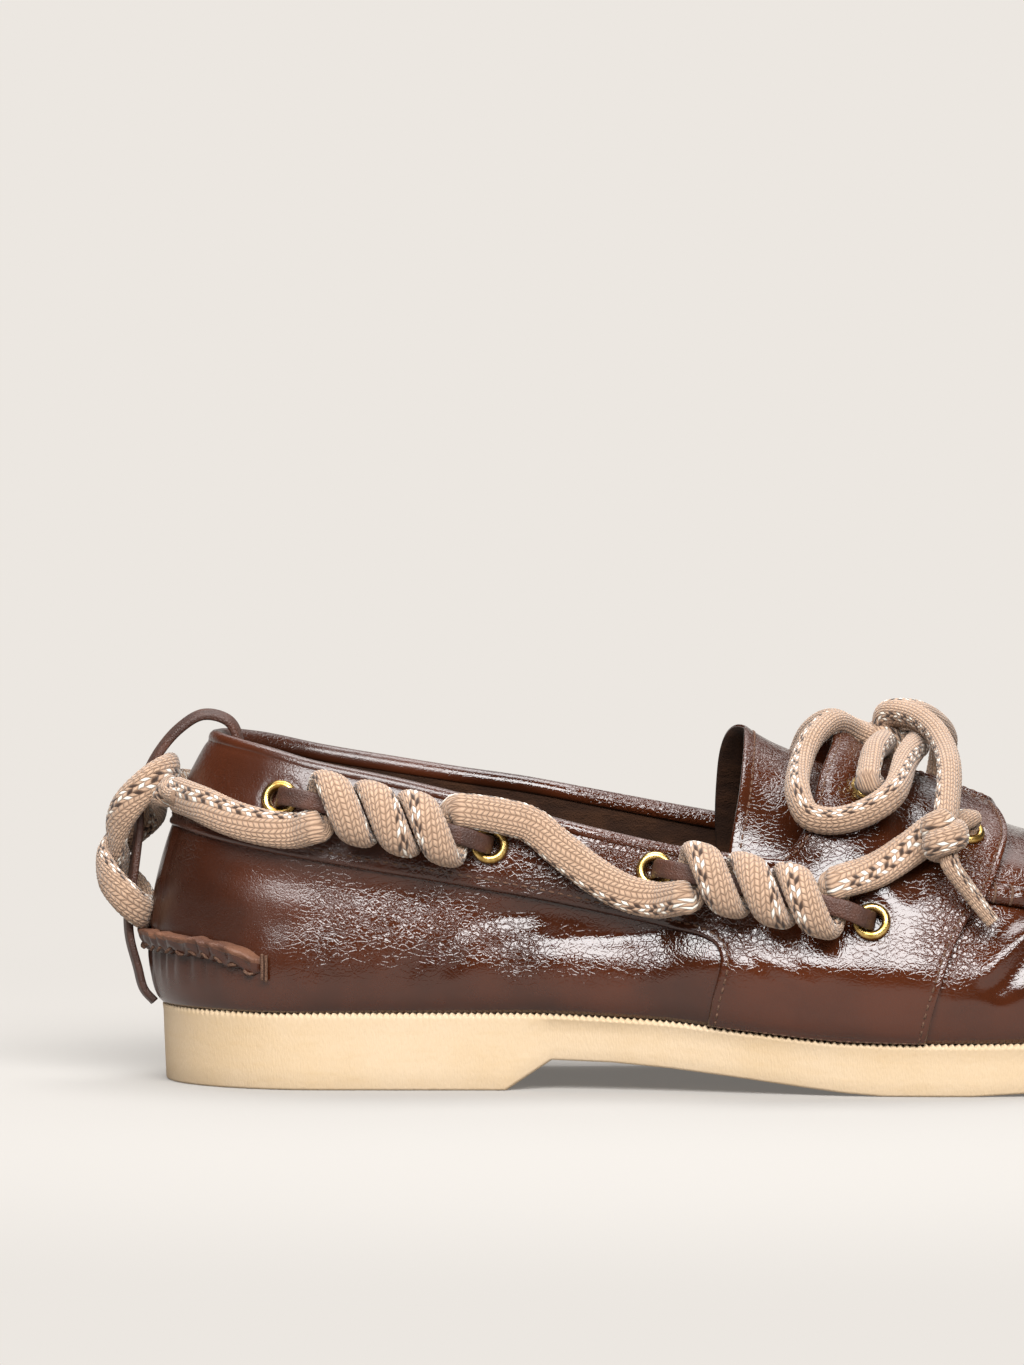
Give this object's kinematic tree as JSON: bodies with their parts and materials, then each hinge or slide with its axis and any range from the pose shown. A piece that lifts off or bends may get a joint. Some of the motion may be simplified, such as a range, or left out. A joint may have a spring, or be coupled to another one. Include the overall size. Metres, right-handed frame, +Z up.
{
  "type": "loafer",
  "caption": "Right loafer of boat-shoe make: patent leather moccasin upper with brass eyelets, a thick braided cord wound round leather thongs and tied in a bow, and a pale rubber sole.",
  "frame": {"origin": "middle of the shoe's box, on the floor under the sole", "axes": "+X to the toe, -Y to the outer side of the foot, +Z up"},
  "size_m": [0.282, 0.1023, 0.0859],
  "materials": {
    "leather": "crinkled patent, dark brown",
    "lining": "dark brown suede",
    "rubber": "matt cream rubber",
    "brass": "polished",
    "cord": "braided beige cord with brown and white flecks"
  },
  "bodies": {
    "root": {"outsole": "rubber", "insole": "lining", "upper": "leather", "saddle": "leather", "tongue": "leather", "apron": "leather", "apron_seam": "leather", "heel_seam": "leather", "heel_strap": "leather", "cord_lateral": "cord", "cord_medial": "cord", "cord_heel": "cord", "cord_crossing": "cord", "eyelet_rear_lateral": "brass", "eyelet_middle_lateral": "brass", "eyelet_front_lateral": "brass", "eyelet_saddle_lateral": "brass", "eyelet_flap_rear_lateral": "brass", "eyelet_flap_front_lateral": "brass", "eyelet_rear_medial": "brass", "eyelet_middle_medial": "brass", "eyelet_front_medial": "brass", "eyelet_saddle_medial": "brass", "eyelet_flap_rear_medial": "brass", "eyelet_flap_front_medial": "brass", "thong_rear_lateral": "leather", "thong_front_lateral": "leather", "thong_rear_medial": "leather", "thong_front_medial": "leather", "bow_knot": "cord", "bow_strand_lateral": "cord", "bow_loop_lateral": "cord", "bow_end_lateral": "cord", "bow_end_knot_lateral": "cord", "bow_tip_lateral": "cord", "bow_strand_medial": "cord", "bow_loop_medial": "cord", "bow_end_medial": "cord", "bow_end_knot_medial": "cord", "bow_tip_medial": "cord"}
  },
  "joints": []
}
